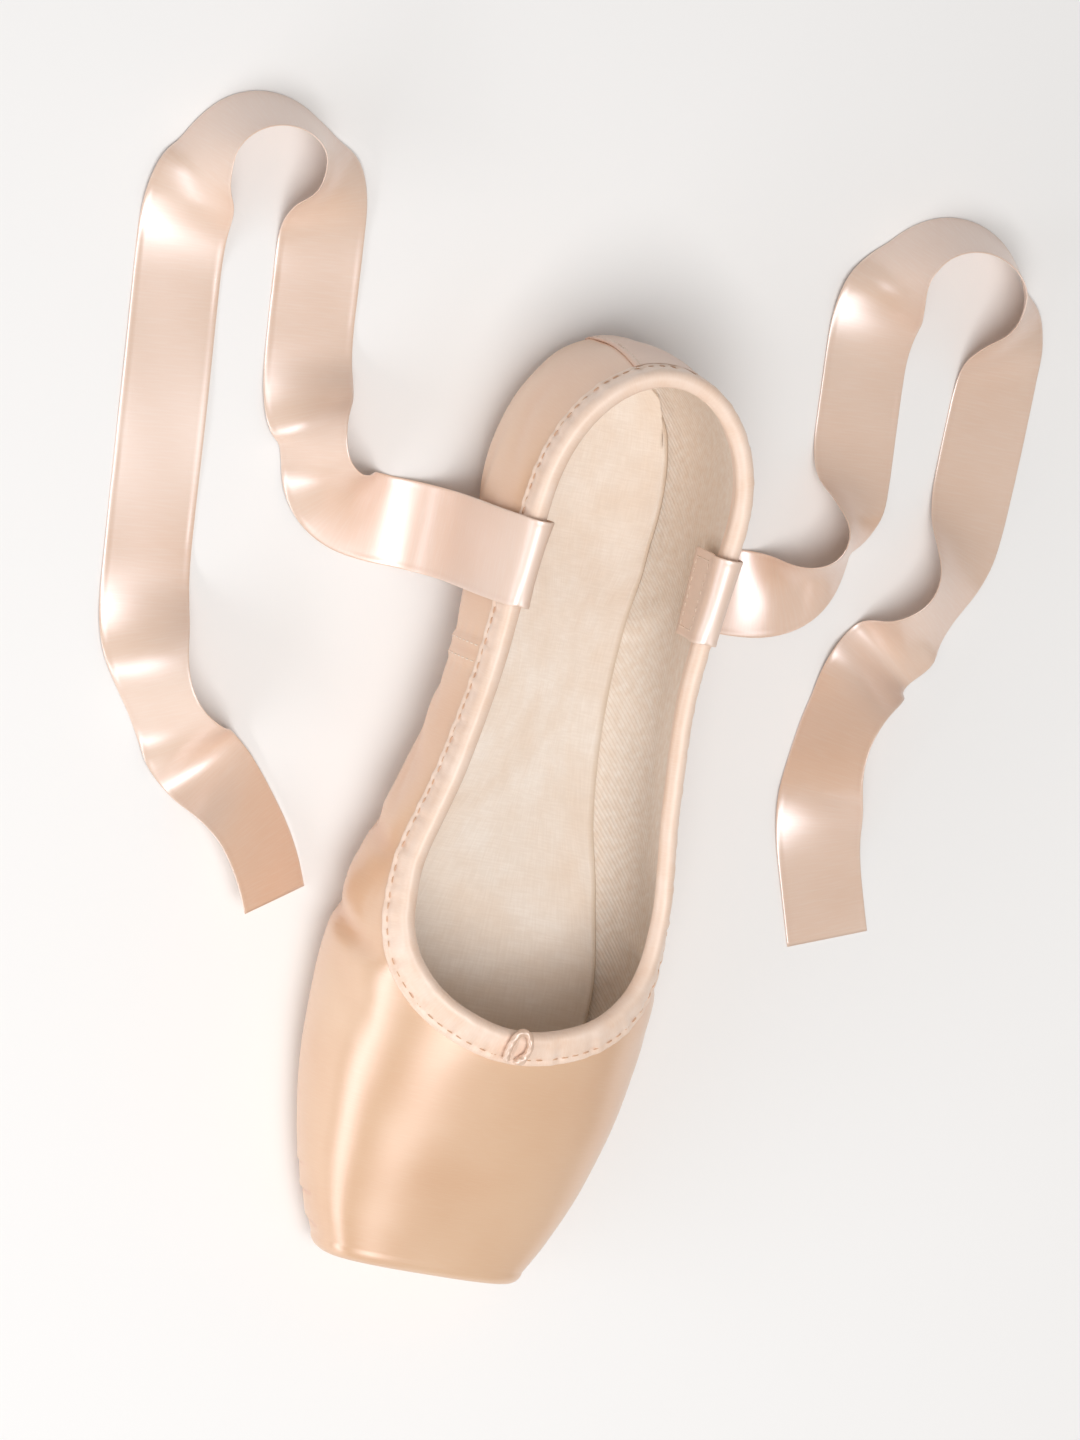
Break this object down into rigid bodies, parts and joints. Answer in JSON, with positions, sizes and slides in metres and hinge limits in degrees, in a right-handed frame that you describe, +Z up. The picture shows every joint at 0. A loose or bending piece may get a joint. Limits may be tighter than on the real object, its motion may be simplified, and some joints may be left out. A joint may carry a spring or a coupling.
{
  "type": "pointe shoe",
  "caption": "Empty satin pointe shoe on its sole: boxed toe with flat platform, hollow upper, teardrop leather sole, heel pad, bound collar, ties lying beside it.",
  "frame": {"origin": "on the floor, at the middle of the shoe's length and width, ties left out", "axes": "-Y towards the toe's platform, +Y towards the heel, +Z up from the floor, X across the shoe"},
  "size_m": [0.2402, 0.284, 0.0585],
  "materials": {
    "upper": "peach satin",
    "outsole": "dull sole leather",
    "heel_pad": "dull sole leather",
    "insole": "matte lining cloth over board",
    "collar_binding": "dull satin tape",
    "back_strip": "peach satin",
    "drawstring_knot": "satin cord",
    "ribbon_lateral": "pale satin ribbon",
    "ribbon_medial": "pale satin ribbon"
  },
  "bodies": {
    "root": {"upper": "upper", "outsole": "outsole", "heel_pad": "heel_pad", "insole": "insole", "collar_binding": "collar_binding", "back_strip": "back_strip", "drawstring_knot": "drawstring_knot", "ribbon_lateral": "ribbon_lateral", "ribbon_medial": "ribbon_medial"}
  },
  "joints": []
}
